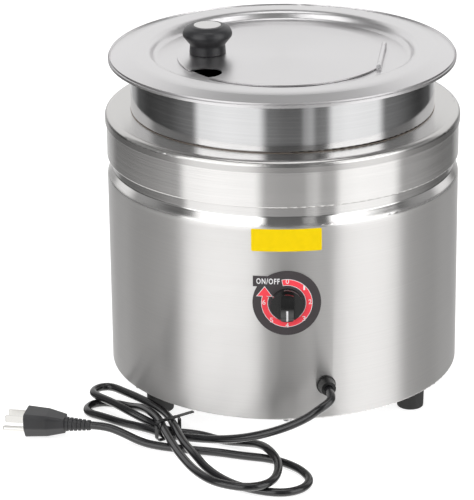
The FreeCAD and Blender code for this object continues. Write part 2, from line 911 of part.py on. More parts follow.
def cord_path(points):
    """Straight runs joined by the largest tangent arcs that their lengths allow."""
    edges = []
    radii = []
    place = points[0]
    for before, corner, after in zip(points, points[1:], points[2:]):
        into = before - corner
        out = after - corner
        turn = math.pi - into.getAngle(out)
        cut = 0.45 * min(into.Length, out.Length)
        radius = cut / math.tan(turn / 2)
        radii.append(radius)
        start = corner + V(into).normalize() * cut
        end = corner + V(out).normalize() * cut
        bisector = (V(into).normalize() + V(out).normalize()).normalize()
        middle = corner + bisector * (radius / math.cos(turn / 2) - radius)
        edges.append(Part.LineSegment(place, start).toShape())
        edges.append(Part.Arc(start, middle, end).toShape())
        place = end
    edges.append(Part.LineSegment(place, points[-1]).toShape())
    return Part.Wire(edges), radii


def least_gap(wire, width, apart):
    """Least clear gap of a tube to itself, between places at least 'apart' along it."""
    step = 2.0
    places = wire.discretize(Distance=step)
    skip = int(apart / step)
    gaps = [
        a.distanceToPoint(b) - width
        for index, a in enumerate(places)
        for b in places[index + skip:]
    ]
    return min(gaps)


def power_cord():
    wire, radii = cord_path(cord_route)
    start = cord_route[0]
    circle = Part.Wire(Part.makeCircle(cord_radius, start, cord_route[1] - start))
    tube = wire.makePipeShell([circle], True, False)
    section = math.pi * cord_radius ** 2
    print("lead length %.1f, tightest arc %.1f" % (wire.Length, min(radii)))
    print("lead radii", " ".join("%.0f" % radius for radius in radii))
    print("lead volume over section times length %.4f" % (tube.Volume / (section * wire.Length)))
    print("lead least gap to itself %.2f" % least_gap(wire, 2 * cord_radius, 40))
    return tube


def edges_along_x(shape):
    return [e for e in shape.Edges if e.BoundBox.XLength > e.BoundBox.YLength + e.BoundBox.ZLength]


def cord_tie():
    outer = block(
        (tie_width, 2 * (tie_half_width + tie_band), 2 * (tie_half_height + tie_band)),
        V(0, 0, 0),
    )
    outer = outer.makeFillet(tie_outer_bend, edges_along_x(outer))
    inner = block((tie_width + cut_margin, 2 * tie_half_width, 2 * tie_half_height), V(0, 0, 0))
    inner = inner.makeFillet(tie_inner_bend, edges_along_x(inner))
    tail = block(
        (tie_tail_width, tie_tail, tie_band),
        V(0, tie_tail_overlap - tie_half_width - tie_tail / 2, tie_half_height + tie_band / 2),
    )
    band = outer.cut(inner).fuse(tail).removeSplitter()
    band.rotate(V(0, 0, 0), UP, tie_heading)
    band.translate(V(*tie_centre))
    return band


def on_plug(shape):
    """Place a piece built along +X from the lead's end."""
    shape = shape.copy()
    shape.rotate(V(0, 0, 0), UP, plug_heading)
    shape.translate(plug_end)
    return shape


def plug_body():
    relief = Part.makeCone(relief_radius, relief_root_radius, relief_length, V(0, 0, 0), V(1, 0, 0))
    pitch = relief_length / (relief_grooves + 1)
    for k in range(relief_grooves):
        x = pitch * (k + 1) - relief_groove / 2
        radius = relief_radius + (relief_root_radius - relief_radius) * x / relief_length
        groove = rod(radius + cut_margin, V(x, 0, 0), V(x + relief_groove, 0, 0))
        groove = groove.cut(rod(radius - relief_groove_depth, V(x, 0, 0), V(x + relief_groove, 0, 0)))
        relief = relief.cut(groove)
    start = relief_length
    sections = []
    for along, share in ((0, plug_root_share), (plug_middle, plug_middle_share), (plug_length, 1.0)):
        sections.append(plug_section(start + along, share))
    body = Part.makeLoft(sections, True, True)
    return on_plug(relief.fuse(body).removeSplitter())


def plug_section(x, share):
    half = plug_half_width * share
    top = plug_top * share
    low = plug_bottom * share
    side = low * plug_side_share
    foot = half * plug_low_share
    edge = plug_edge_bend * share
    corners = [
        (V(-half, 0, top), edge),
        (V(-half, 0, -side), edge),
        (V(-foot, 0, -low), plug_low_bend * share),
        (V(foot, 0, -low), plug_low_bend * share),
        (V(half, 0, -side), edge),
        (V(half, 0, top), edge),
    ]
    wire = rounded_face(corners).OuterWire
    wire.rotate(V(0, 0, 0), UP, 90)
    wire.translate(V(x, 0, 0))
    return wire


def plug_blades():
    face = relief_length + plug_length
    blades = []
    for side in (-1, 1):
        size = (blade_length, blade_thick, blade_tall)
        blade = block(size, V(face + blade_length / 2, side * blade_spacing / 2, blade_rise))
        tip = [e for e in blade.Edges if e.BoundBox.XMin > face + blade_length / 2]
        blades.append(on_plug(blade.makeChamfer(blade_chamfer, tip)))
    return Part.Compound(blades)


def plug_ground_pin():
    face = relief_length + plug_length
    pin = rod(ground_radius, V(face, 0, -ground_drop), V(face + ground_length, 0, -ground_drop))
    tip = [e for e in pin.Edges if e.BoundBox.XMin > face + ground_length / 2]
    return on_plug(pin.makeFillet(ground_tip, tip))


pieces = {
    "outer_shell": outer_shell(),
    "top_deck": top_deck(),
    "water_well": water_well(),
    "inset_pot": inset_pot(),
    "lid_ring": lid_ring(),
    "hinge_pin": hinge_pin(),
    "lid_flap": lid_flap(),
    "flap_knob": flap_knob(),
    "flap_knob_cap": flap_knob_cap(),
    "flap_knob_screw": flap_knob_screw(),
    "dial_plate": dial_plate(),
    "thermostat_bracket": thermostat_bracket(),
    "thermostat_body": thermostat_body(),
    "bushing_nut": bushing_nut(),
    "thermostat_shaft": thermostat_shaft(),
    "control_knob": control_knob(),
    "sensor_bulb": sensor_bulb(),
    "heater_plate": heater_plate(),
    "heater_element": heater_element(),
    "heater_clamp": heater_clamp(),
    "heater_nut": heater_nut(),
    "thermal_cutout": thermal_cutout(),
    "insulation_wrap": insulation_wrap(),
    "base_plate": base_plate(),
    "base_screws": around(base_screw_count, base_screw_angle, base_screw),
    "foot_rear": foot(),
    "foot_front_left": turned(foot(), 360.0 / foot_count),
    "foot_front_right": turned(foot(), 720.0 / foot_count),
    "foot_screws": around(foot_count, 0, foot_screw),
    "foot_nuts": around(foot_count, 0, foot_nut),
    "terminal_block": terminal_block(),
    "gland_body": gland_body(),
    "gland_nut": gland_nut(),
    "power_cord": power_cord(),
    "cord_tie": cord_tie(),
    "plug_body": plug_body(),
    "plug_blades": plug_blades(),
    "plug_ground_pin": plug_ground_pin(),
}

os.makedirs("parts", exist_ok=True)
for name, shape in pieces.items():
    box = shape.BoundBox
    print(
        "%-20s solids %d valid %s volume %.0f z %.1f to %.1f"
        % (name, len(shape.Solids), shape.isValid(), shape.Volume, box.ZMin, box.ZMax)
    )
    shape.exportStep("parts/%s.step" % name)
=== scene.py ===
import bpy
import math
from mathutils import Matrix, Vector


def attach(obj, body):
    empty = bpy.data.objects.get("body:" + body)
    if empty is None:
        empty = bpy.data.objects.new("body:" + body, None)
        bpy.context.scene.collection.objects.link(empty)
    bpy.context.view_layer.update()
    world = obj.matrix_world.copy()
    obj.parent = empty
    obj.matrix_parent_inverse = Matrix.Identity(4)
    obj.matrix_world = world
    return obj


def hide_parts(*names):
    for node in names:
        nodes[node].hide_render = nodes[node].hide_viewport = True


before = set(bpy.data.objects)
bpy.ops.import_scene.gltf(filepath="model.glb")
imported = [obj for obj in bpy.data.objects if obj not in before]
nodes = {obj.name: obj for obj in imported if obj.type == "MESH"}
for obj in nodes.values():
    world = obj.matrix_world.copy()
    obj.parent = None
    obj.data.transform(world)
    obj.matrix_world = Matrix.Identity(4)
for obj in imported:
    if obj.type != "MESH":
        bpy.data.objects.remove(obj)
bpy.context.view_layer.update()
MM = 0.001

# Sizes shared with the solids, in millimetres and degrees
shell_radius = 152.3
neck_radius = 131.0
deck_top = 257.0
groove_bottom = 200.5
groove_top = 216.6
dial_sheet = 0.4
dial_height = 133.4
knob_standoff = 1.0
knob_reach = 14.5
knob_brow_radius = 24.0
gland_angle = 12.2
gland_height = 58.4
cord_radius = 3.5
cord_inside = 14.0
cord_straight = 17.0
cord_plug_run = 13.0
plug_heading = 170.5

# Print on the dial, in millimetres from its middle and degrees clockwise from its top
print_lift = dial_sheet + 0.02
print_thick = 0.05
ring_inner = 16.1
ring_outer = 20.9
ring_start = -10.5
ring_end = 290.0
ring_edge = 0.45
ring_edge_turn = 1.3
arrow_left = -24.5
arrow_right = -12.6
arrow_tip = -18.3
arrow_base = 6.3
arrow_top = 14.3
arrow_side_growth = 2.0
arrow_tip_growth = 1.6
number_tall = 4.1
number_wide = 2.7
one_narrowing = 0.55
number_places = [
    (0.5, 19.4),
    (14.4, 13.4),
    (19.2, 0.7),
    (14.0, -14.0),
    (0.1, -19.6),
    (-12.8, -15.0),
    (-19.0, 0.7),
]
word_place = (-15.5, 19.4)
word_wide = 19.3
word_tall = 5.1
word_weight = 0.025
letter_spacing = 1.2
letter_half_depth = 0.5

# Pointer on the control knob, blank label and the ring of painted shade at the neck's foot, in
# millimetres
pointer_width = 1.5
pointer_top = 1.0
pointer_bottom = 11.2
pointer_sink = 0.2
pointer_proud = 0.06
label_half = 29.3
label_bottom = 179.0
label_top = 198.5
label_corner = 1.2
label_lift = 0.02
label_thick = 0.12
shade_ring_section = [(-0.3, 0.02), (0.2, 0.02), (0.14, 0.16), (-0.3, 0.3)]

# Camera fitted to the photograph, in millimetres, radians and pixels
image_width = 474.0
focal_pixels = 2748.8
camera_distance = 2422.3
camera_elevation = 0.3628
camera_roll = -0.0125
camera_target = (-40.74, 0.0, 123.14)
sensor_width = 36.0

# Fine detail of the materials: scales of noise, contrasts, and bump strengths and heights in metres
pattern_stops = (0.25, 0.75)
brush_stops = (0.3, 0.7)
brush_along = 6.0
brush_bump = 0.002
brush_height = 0.0001
wall_contrast = 0.92
flat_contrast = 0.97
cloud_scale = 9.0
cloud_depth = 0.04
patch_scale = 45.0
sheen_range = 0.12
coat_roughness = 0.06
pebble_height = 0.0002
mottle_scale = 160.0
mottle_contrast = 0.93
mottle_bump = 0.04
mottle_height = 0.0001
film_specular = 0.15
fibre_scale = 220.0
fibre_contrast = 0.7
fibre_bump = 0.4
fibre_height = 0.001
felt_roughness = 0.95

# Burnishing by the rolled groove: how far it fades, in millimetres, and the share of roughness left
burnish_outside = 1.6
burnish_inside = 0.6
burnish_groove = 0.28
burnish_above = 0.42

# Floor: size in metres, grey tone, and the glow that the camera sees on it
floor_size = 6.0
floor_tone = 0.5
floor_glow = 0.76


def mm(x, y, z):
    return Vector((x, y, z)) * MM


def grey(tone):
    return (tone, tone, tone)


def in_scene(name, data):
    """A new object, linked to the scene."""
    made = bpy.data.objects.new(name, data)
    bpy.context.scene.collection.objects.link(made)
    return made


def add_camera():
    data = bpy.data.cameras.new("camera")
    data.sensor_fit = "HORIZONTAL"
    data.sensor_width = sensor_width
    data.lens = focal_pixels * sensor_width / image_width
    data.clip_end = 20.0
    camera = in_scene("camera", data)
    back = Vector((0, -math.cos(camera_elevation), math.sin(camera_elevation)))
    right = Vector((1, 0, 0))
    up = back.cross(right)
    turned_right = right * math.cos(camera_roll) + up * math.sin(camera_roll)
    turned_up = up * math.cos(camera_roll) - right * math.sin(camera_roll)
    rotation = Matrix((turned_right, turned_up, back)).transposed().to_4x4()
    place = mm(*camera_target) + back * camera_distance * MM
    camera.matrix_world = Matrix.Translation(place) @ rotation
    bpy.context.scene.camera = camera


class Nodes:
    """Small helper that adds shader nodes to one material or world."""

    def __init__(self, tree):
        self.tree = tree
        self.tree.nodes.clear()

    def add(self, kind, **values):
        node = self.tree.nodes.new(kind)
        for name, value in values.items():
            setattr(node, name, value)
        return node

    def link(self, source, target):
        self.tree.links.new(source, target)

    def math(self, operation, *values):
        """One operation on up to three values, each a socket or a plain number."""
        node = self.add("ShaderNodeMath", operation=operation)
        for socket, value in zip(node.inputs, values):
            if isinstance(value, (int, float)):
                socket.default_value = value
            else:
                self.link(value, socket)
        return node.outputs[0]

    def ramp(self, source, stops, interpolation="LINEAR"):
        """A colour or a grey tone by stops of (place from 0 to 1, colour or tone)."""
        node = self.add("ShaderNodeValToRGB")
        ramp = node.color_ramp
        ramp.interpolation = interpolation
        while len(ramp.elements) < len(stops):
            ramp.elements.new(0.5)
        for element, (place, colour) in zip(ramp.elements, stops):
            element.position = place
            if isinstance(colour, (int, float)):
                colour = grey(colour)
            element.color = (*colour, 1.0)
        self.link(source, node.inputs[0])
        return node.outputs[0]

    def mix(self, factor, low, high):
        """A colour between two, each a socket or a plain colour, by a factor from 0 to 1."""
        node = self.add("ShaderNodeMix", data_type="RGBA")
        self.link(factor, node.inputs[0])
        for socket, value in ((node.inputs[6], low), (node.inputs[7], high)):
            if isinstance(value, tuple):
                socket.default_value = (*value, 1)
            else:
                self.link(value, socket)
        return node.outputs[2]

    def split(self, vector):
        """The three parts of a vector."""
        node = self.add("ShaderNodeSeparateXYZ")
        self.link(vector, node.inputs[0])
        return node.outputs

    def coordinates(self, scale=(1, 1, 1)):
        texture = self.add("ShaderNodeTexCoord")
        mapping = self.add("ShaderNodeMapping")
        mapping.inputs["Scale"].default_value = scale
        self.link(texture.outputs["Object"], mapping.inputs["Vector"])
        return mapping.outputs[0]

    def round_axis(self, along, across, flat):
        """Coordinates that change slowly along circles round the upright axis and fast across them."""
        texture = self.add("ShaderNodeTexCoord")
        x, y, step = self.split(texture.outputs["Object"])
        if flat:
            squares = self.math("ADD", self.math("MULTIPLY", x, x), self.math("MULTIPLY", y, y))
            step = self.math("SQRT", squares)
        joined = self.add("ShaderNodeCombineXYZ")
        self.link(self.math("MULTIPLY", x, along), joined.inputs[0])
        self.link(self.math("MULTIPLY", y, along), joined.inputs[1])
        self.link(self.math("MULTIPLY", step, across), joined.inputs[2])
        return joined.outputs[0]

    def noise(self, scale, vector, detail, roughness=0.5):
        node = self.add("ShaderNodeTexNoise")
        node.inputs["Scale"].default_value = scale
        node.inputs["Detail"].default_value = detail
        node.inputs["Roughness"].default_value = roughness
        self.link(vector, node.inputs["Vector"])
        return node.outputs["Fac"]

    def bump(self, height, strength, distance):
        node = self.add("ShaderNodeBump")
        node.inputs["Strength"].default_value = strength
        node.inputs["Distance"].default_value = distance
        self.link(height, node.inputs["Height"])
        return node.outputs[0]


def new_material(name):
    material = bpy.data.materials.new(name)
    material.use_nodes = True
    kit = Nodes(material.node_tree)
    shader = kit.add("ShaderNodeBsdfPrincipled")
    output = kit.add("ShaderNodeOutputMaterial")
    kit.link(shader.outputs[0], output.inputs["Surface"])
    return material, kit, shader


def shaded(kit, shader, pattern, dark, light):
    """Vary the colour between two limits by a pattern."""
    kit.link(kit.ramp(pattern, list(zip(pattern_stops, (dark, light)))), shader.inputs["Base Color"])


def steel(name, tone, smooth, rough, grain, anisotropy=0.0, flat=False, burnish=None):
    """Stainless sheet, finely brushed round the kettle's axis, and burnished by height where asked."""
    material, kit, shader = new_material(name)
    shader.inputs["Metallic"].default_value = 1.0
    shader.inputs["Anisotropic"].default_value = anisotropy
    shader.inputs["Anisotropic Rotation"].default_value = 0.25
    tangent = kit.add("ShaderNodeTangent", direction_type="RADIAL", axis="Z")
    kit.link(tangent.outputs[0], shader.inputs["Tangent"])
    lines = kit.noise(1.0, kit.round_axis(brush_along, grain, flat), detail=4.0, roughness=0.6)
    cloud = kit.noise(cloud_scale, kit.coordinates(), detail=2.0)
    contrast = flat_contrast if flat else wall_contrast
    shaded(kit, shader, lines, [c * contrast for c in tone], tone)
    brushed = kit.ramp(lines, list(zip(brush_stops, (smooth, rough))))
    mixed = kit.math("ADD", brushed, kit.math("MULTIPLY", cloud, cloud_depth))
    if burnish:
        height = kit.split(kit.coordinates())[2]
        mixed = kit.math("MULTIPLY", mixed, kit.ramp(height, burnish))
    kit.link(mixed, shader.inputs["Roughness"])
    kit.link(kit.bump(lines, brush_bump, brush_height), shader.inputs["Normal"])
    return material


def plastic(name, dark, light, roughness, grain, bump, coat=0.0):
    """Moulded plastic or rubber with a faint pebble and uneven sheen."""
    material, kit, shader = new_material(name)
    pebble = kit.noise(grain, kit.coordinates(), detail=3.0)
    patches = kit.noise(patch_scale, kit.coordinates(), detail=2.0)
    shaded(kit, shader, patches, dark, light)
    sheen = kit.math("MULTIPLY_ADD", patches, sheen_range, roughness - sheen_range / 2)
    kit.link(sheen, shader.inputs["Roughness"])
    shader.inputs["Coat Weight"].default_value = coat
    shader.inputs["Coat Roughness"].default_value = coat_roughness
    kit.link(kit.bump(pebble, bump, pebble_height), shader.inputs["Normal"])
    return material


def film(name, colour, roughness):
    """Printed or self-adhesive film: an even colour with a faint mottle."""
    material, kit, shader = new_material(name)
    mottle = kit.noise(mottle_scale, kit.coordinates(), detail=3.0)
    shaded(kit, shader, mottle, [c * mottle_contrast for c in colour], colour)
    shader.inputs["Roughness"].default_value = roughness
    shader.inputs["Specular IOR Level"].default_value = film_specular
    kit.link(kit.bump(mottle, mottle_bump, mottle_height), shader.inputs["Normal"])
    return material


def felt(name, colour):
    """Fibre wrap, matt and uneven."""
    material, kit, shader = new_material(name)
    fibres = kit.noise(fibre_scale, kit.coordinates((1, 1, 3)), detail=5.0)
    shaded(kit, shader, fibres, [c * fibre_contrast for c in colour], colour)
    shader.inputs["Roughness"].default_value = felt_roughness
    kit.link(kit.bump(fibres, fibre_bump, fibre_height), shader.inputs["Normal"])
    return material


# Share of the roughness by height in metres: all of it below the groove, least in it, some above it
burnished = [
    ((groove_bottom - burnish_outside) * MM, 1.0),
    ((groove_bottom - burnish_inside) * MM, burnish_groove),
    ((groove_top + burnish_inside) * MM, burnish_groove),
    ((groove_top + burnish_outside) * MM, burnish_above),
]

# Steel has a tone, least and most roughness and a grain; plastic dark, light, roughness, grain and bump
materials = {
    "shell": steel(
        "shell_brushed", (0.74, 0.73, 0.72), 0.36, 0.46, 1300, anisotropy=1.0, burnish=burnished
    ),
    "deck": steel("deck_brushed", (0.60, 0.59, 0.58), 0.2, 0.24, 1300, anisotropy=0.4, flat=True),
    "pot": steel("pot_brushed", (0.66, 0.66, 0.665), 0.07, 0.11, 1300, anisotropy=0.6),
    "lid": steel("lid_satin", (0.715, 0.705, 0.71), 0.26, 0.32, 1300, anisotropy=0.2, flat=True),
    # Painted shade: dark brownish steel for the ring at the neck's foot, where the pot stands on the
    # ledge
    "neck_shade": steel("neck_shade_steel", (0.40, 0.34, 0.29), 0.4, 0.6, 900),
    "inner": steel("plain_steel", grey(0.55), 0.36, 0.48, 500),
    "fastener": steel("fastener_steel", (0.66, 0.66, 0.67), 0.26, 0.36, 900),
    "cap": steel("cap_steel", (0.74, 0.73, 0.72), 0.26, 0.36, 900),
    "contact": steel("contact_metal", (0.80, 0.79, 0.76), 0.24, 0.34, 900),
    "knob": plastic("knob_black", grey(0.006), grey(0.012), 0.2, 900, 0.02, coat=0.6),
    "satin": plastic("knob_satin", (0.012, 0.012, 0.013), (0.020, 0.020, 0.022), 0.36, 900, 0.03),
    "gland": plastic("gland_black", grey(0.006), grey(0.012), 0.28, 900, 0.04),
    "rubber": plastic("foot_rubber", grey(0.012), grey(0.024), 0.6, 700, 0.12),
    "jacket": plastic(
        "cord_jacket", (0.004, 0.004, 0.005), (0.009, 0.009, 0.010), 0.24, 600, 0.03, coat=0.4
    ),
    "plug": plastic("plug_black", (0.016, 0.016, 0.017), (0.028, 0.028, 0.030), 0.42, 600, 0.06),
    "insulator": plastic("insulator_brown", (0.10, 0.07, 0.05), (0.15, 0.11, 0.08), 0.5, 500, 0.08),
    "sheath": plastic("heater_sheath", grey(0.05), grey(0.09), 0.55, 500, 0.08),
    "dial": film("dial_film", (0.062, 0.055, 0.058), 0.4),
    "felt": felt("glass_felt", (0.8, 0.77, 0.66)),
    "red": film("print_red", (0.97, 0.075, 0.10), 0.35),
    "white": film("print_white", (0.82, 0.81, 0.82), 0.4),
    "yellow": film("label_yellow", (0.87, 0.625, 0.0), 0.5),
}

node_materials = {
    "outer_shell": "shell",
    "top_deck": "deck",
    "water_well": "inner",
    "inset_pot": "pot",
    "lid_ring": "lid",
    "hinge_pin": "fastener",
    "lid_flap": "lid",
    "flap_knob": "satin",
    "flap_knob_cap": "cap",
    "flap_knob_screw": "fastener",
    "dial_plate": "dial",
    "thermostat_bracket": "inner",
    "thermostat_body": "insulator",
    "bushing_nut": "fastener",
    "thermostat_shaft": "inner",
    "control_knob": "knob",
    "sensor_bulb": "inner",
    "heater_plate": "inner",
    "heater_element": "sheath",
    "heater_clamp": "inner",
    "heater_nut": "fastener",
    "thermal_cutout": "insulator",
    "insulation_wrap": "felt",
    "base_plate": "inner",
    "base_screws": "fastener",
    "foot_rear": "rubber",
    "foot_front_left": "rubber",
    "foot_front_right": "rubber",
    "foot_screws": "fastener",
    "foot_nuts": "fastener",
    "terminal_block": "insulator",
    "gland_body": "gland",
    "gland_nut": "gland",
    "cord_tie": "jacket",
    "plug_body": "plug",
    "plug_blades": "contact",
    "plug_ground_pin": "contact",
}


def dress(piece, name):
    piece.data.materials.clear()
    piece.data.materials.append(materials[name])


def new_piece(name, data, material, body):
    """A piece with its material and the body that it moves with."""
    piece = in_scene(name, data)
    dress(piece, material)
    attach(piece, body)


def mesh_piece(name, corners, faces, material, body):
    data = bpy.data.meshes.new(name)
    data.from_pydata(corners, [], faces)
    data.validate()
    new_piece(name, data, material, body)


# Middle line of the lead from the gland to the plug, in millimetres, as in the solids
exit_turn = math.radians(gland_angle)
cord_out = Vector((math.sin(exit_turn), -math.cos(exit_turn), 0))
cord_exit = cord_out * shell_radius + Vector((0, 0, gland_height))
plug_end = Vector((-167.4, -125.5, 12.6))
plug_turn = math.radians(plug_heading)
plug_out = Vector((math.cos(plug_turn), math.sin(plug_turn), 0))
cord_route = [
    cord_exit - cord_out * cord_inside,
    cord_exit + cord_out * cord_straight,
    Vector((36.5, -175.5, 55.0)),
    Vector((26.5, -182.0, 50.5)),
    Vector((14.8, -182.0, 41.5)),
    Vector((-5.2, -179.0, 31.0)),
    Vector((-28.5, -174.0, 22.5)),
    Vector((-49.5, -162.6, 14.8)),
    Vector((-71.5, -146.3, 7.8)),
    Vector((-103.0, -131.5, 5.2)),
    Vector((-118.5, -115.2, 4.2)),
    Vector((-141.7, -101.8, 3.8)),
    Vector((-157.8, -89.0, 3.8)),
    Vector((-171.4, -80.1, 3.8)),
    Vector((-173.8, -70.3, 3.8)),
    Vector((-169.1, -61.3, 3.8)),
    Vector((-159.7, -57.6, 3.8)),
    Vector((-149.0, -60.5, 3.8)),
    Vector((-135.0, -69.0, 4.2)),
    Vector((-122.5, -88.0, 11.6)),
    Vector((-110.0, -112.0, 13.0)),
    Vector((-104.7, -136.3, 13.4)),
    Vector((-97.2, -163.0, 12.2)),
    Vector((-88.6, -189.8, 11.8)),
    Vector((-77.5, -217.2, 11.8)),
    Vector((-62.6, -238.4, 11.8)),
    Vector((-40.2, -249.1, 11.8)),
    Vector((-23.9, -247.7, 11.8)),
    Vector((-12.3, -236.1, 11.8)),
    Vector((-8.0, -212.0, 12.0)),
    Vector((-11.5, -190.0, 13.0)),
    Vector((-21.5, -168.5, 12.4)),
    Vector((-36.0, -151.5, 6.5)),
    Vector((-55.0, -141.5, 3.8)),
    Vector((-75.0, -128.0, 4.4)),
    Vector((-99.5, -124.5, 5.2)),
    Vector((-114.5, -105.5, 4.0)),
    Vector((-135.0, -93.0, 10.0)),
    Vector((-150.5, -76.0, 11.8)),
    Vector((-167.8, -58.7, 11.8)),
    Vector((-168.2, -49.2, 11.8)),
    Vector((-161.8, -42.2, 11.8)),
    Vector((-152.3, -41.8, 11.8)),
    Vector((-141.0, -53.5, 11.8)),
    Vector((-130.5, -64.5, 12.0)),
    Vector((-114.6, -85.5, 13.0)),
    Vector((-101.0, -109.0, 13.2)),
    Vector((-95.3, -133.7, 13.7)),
    Vector((-88.5, -160.0, 12.4)),
    Vector((-77.4, -185.9, 11.4)),
    Vector((-69.5, -198.4, 6.4)),
    Vector((-57.1, -214.3, 3.8)),
    Vector((-40.7, -231.8, 3.8)),
    Vector((-10.5, -245.2, 3.8)),
    Vector((9.7, -238.8, 3.8)),
    Vector((17.8, -221.5, 3.8)),
    Vector((11.7, -203.3, 3.8)),
    Vector((0.5, -189.5, 3.8)),
    Vector((-15.5, -177.8, 3.8)),
    Vector((-36.5, -172.4, 3.8)),
    Vector((-58.8, -164.1, 3.8)),
    Vector((-82.4, -158.6, 3.8)),
    Vector((-107.9, -151.1, 3.8)),
    Vector((-124.0, -142.8, 4.2)),
    Vector((-140.5, -132.8, 8.8)),
    plug_end - plug_out * cord_plug_run,
    plug_end,
]


def add_cord():
    """The mains lead on one smooth curve, in place of its plain tube."""
    data = bpy.data.curves.new("mains_lead", "CURVE")
    data.dimensions = "3D"
    data.bevel_depth = cord_radius * MM
    data.bevel_resolution = 6
    data.resolution_u = 12
    data.use_fill_caps = True
    spline = data.splines.new("NURBS")
    spline.points.add(len(cord_route) - 1)
    for place, target in zip(cord_route, spline.points):
        target.co = (*(place * MM), 1.0)
    spline.order_u = 3
    spline.use_endpoint_u = True
    lead = in_scene("mains_lead", data)
    dress(lead, "jacket")
    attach(lead, "kettle_body")
    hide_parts("power_cord")


def on_shell(u, v, lift):
    """A point on the shell's front, u mm to the right along the wall, v mm high, lift mm proud."""
    turn = u / shell_radius
    radius = shell_radius + lift
    return mm(radius * math.sin(turn), -radius * math.cos(turn), v)


def close_points(outline, most=2.0):
    """The same outline with points no further apart than the given distance."""
    points = []
    for a, b in zip(outline, outline[1:] + outline[:1]):
        parts = max(1, math.ceil(math.dist(a, b) / most))
        for k in range(parts):
            points.append((a[0] + (b[0] - a[0]) * k / parts, a[1] + (b[1] - a[1]) * k / parts))
    return points


def plate_on_shell(name, outline, lift, thick, material, rings=8):
    """A closed thin plate bent to the shell from a convex outline of (u, v) points."""
    outline = close_points(outline)
    count = len(outline)
    centre_u = sum(u for u, v in outline) / count
    centre_v = sum(v for u, v in outline) / count
    corners = []
    for layer in (lift, lift + thick):
        for ring in range(1, rings + 1):
            share = ring / rings
            for u, v in outline:
                place = (centre_u + (u - centre_u) * share, centre_v + (v - centre_v) * share)
                corners.append(on_shell(*place, layer))
        corners.append(on_shell(centre_u, centre_v, layer))
    per_layer = rings * count + 1
    faces = []
    for layer in (0, 1):
        base = layer * per_layer
        hub = base + rings * count
        for k in range(count):
            following = (k + 1) % count
            cap = (hub, base + k, base + following)
            faces.append(cap if layer else cap[::-1])
            for ring in range(rings - 1):
                inner = base + ring * count
                outer = inner + count
                quad = (inner + k, outer + k, outer + following, inner + following)
                faces.append(quad if layer else quad[::-1])
    edge = (rings - 1) * count
    for k in range(count):
        following = (k + 1) % count
        faces.append((edge + k, edge + following, per_layer + edge + following, per_layer + edge + k))
    mesh_piece(name, corners, faces, material, "kettle_body")


def rounded_rectangle(left, right, bottom, top, radius, steps=6):
    outline = []
    for x, y, start in (
        (right - radius, top - radius, 0),
        (left + radius, top - radius, 90),
        (left + radius, bottom + radius, 180),
        (right - radius, bottom + radius, 270),
    ):
        for k in range(steps + 1):
            turn = math.radians(start + 90 * k / steps)
            outline.append((x + radius * math.cos(turn), y + radius * math.sin(turn)))
    return outline


def bar_faces(steps, turned=False):
    """Faces of a closed bar with four corners at each step; turned makes them face the other way."""
    faces = []
    for k in range(steps):
        a = 4 * k
        b = a + 4
        faces += [
            (a + 1, a + 3, b + 3, b + 1),
            (a, b, b + 2, a + 2),
            (a, a + 1, b + 1, b),
            (a + 2, b + 2, b + 3, a + 3),
        ]
    last = 4 * steps
    faces += [(0, 2, 3, 1), (last, last + 1, last + 3, last + 2)]
    if turned:
        faces = [(a, d, c, b) for a, b, c, d in faces]
    return faces


def arc_band(name, inner, outer, start, end, lift, material, steps=96):
    """A thin flat band on the dial between two angles, clockwise in degrees from the top."""
    corners = []
    for k in range(steps + 1):
        turn = math.radians(start + (end - start) * k / steps)
        for radius in (inner, outer):
            u = radius * math.sin(turn)
            v = dial_height + radius * math.cos(turn)
            corners.append(on_shell(u, v, lift))
            corners.append(on_shell(u, v, lift + print_thick))
    mesh_piece(name, corners, bar_faces(steps), material, "kettle_body")


def word_on_dial(text, name, middle, wide, tall, weight):
    """Printed characters on the dial plate, centred on a place given from the dial's middle."""
    data = bpy.data.curves.new(name, "FONT")
    data.body = text
    data.size = 1.0
    data.offset = weight
    data.space_character = letter_spacing
    data.extrude = letter_half_depth
    data.resolution_u = 4
    holder = in_scene(name, data)
    shape = bpy.data.meshes.new_from_object(holder.evaluated_get(bpy.context.evaluated_depsgraph_get()))
    bpy.data.objects.remove(holder)
    xs = [c.co.x for c in shape.vertices]
    ys = [c.co.y for c in shape.vertices]
    scale = (wide / (max(xs) - min(xs)), tall / (max(ys) - min(ys)))
    centre = ((max(xs) + min(xs)) / 2, (max(ys) + min(ys)) / 2)
    for corner in shape.vertices:
        u = middle[0] + (corner.co.x - centre[0]) * scale[0]
        v = dial_height + middle[1] + (corner.co.y - centre[1]) * scale[1]
        depth = (corner.co.z + letter_half_depth) * print_thick
        corner.co = on_shell(u, v, print_lift + 2 * print_thick + depth)
    new_piece(name, shape, "white", "kettle_body")


def add_dial_print():
    """A red scale and its arrow with white edges, the numbers and the switch word."""
    inner_edge = ring_inner - ring_edge
    outer_edge = ring_outer + ring_edge
    edge_start = ring_start - ring_edge_turn
    second_lift = print_lift + print_thick
    arc_band("scale_edge", inner_edge, outer_edge, edge_start, ring_end, print_lift, "white")
    arc_band("scale_ring", ring_inner, ring_outer, ring_start, ring_end, second_lift, "red")
    for name, grow, lift, material in (
        ("arrow_edge", ring_edge, print_lift, "white"),
        ("arrow", 0.0, second_lift, "red"),
    ):
        outline = [
            (arrow_left - arrow_side_growth * grow, dial_height + arrow_base - grow),
            (arrow_right + arrow_side_growth * grow, dial_height + arrow_base - grow),
            (arrow_tip, dial_height + arrow_top + arrow_tip_growth * grow),
        ]
        plate_on_shell(name, outline, lift, print_thick, material)
    for k, place in enumerate(number_places):
        wide = number_wide * (one_narrowing if k == 1 else 1.0)
        word_on_dial(str(k), "scale_%d" % k, place, wide, number_tall, 0.0)
    word_on_dial("ON/OFF", "switch_word", word_place, word_wide, word_tall, word_weight)


def add_label():
    """A blank yellow sticker on the shell's front."""
    outline = rounded_rectangle(-label_half, label_half, label_bottom, label_top, label_corner)
    plate_on_shell("front_label", outline, label_lift, label_thick, "yellow")


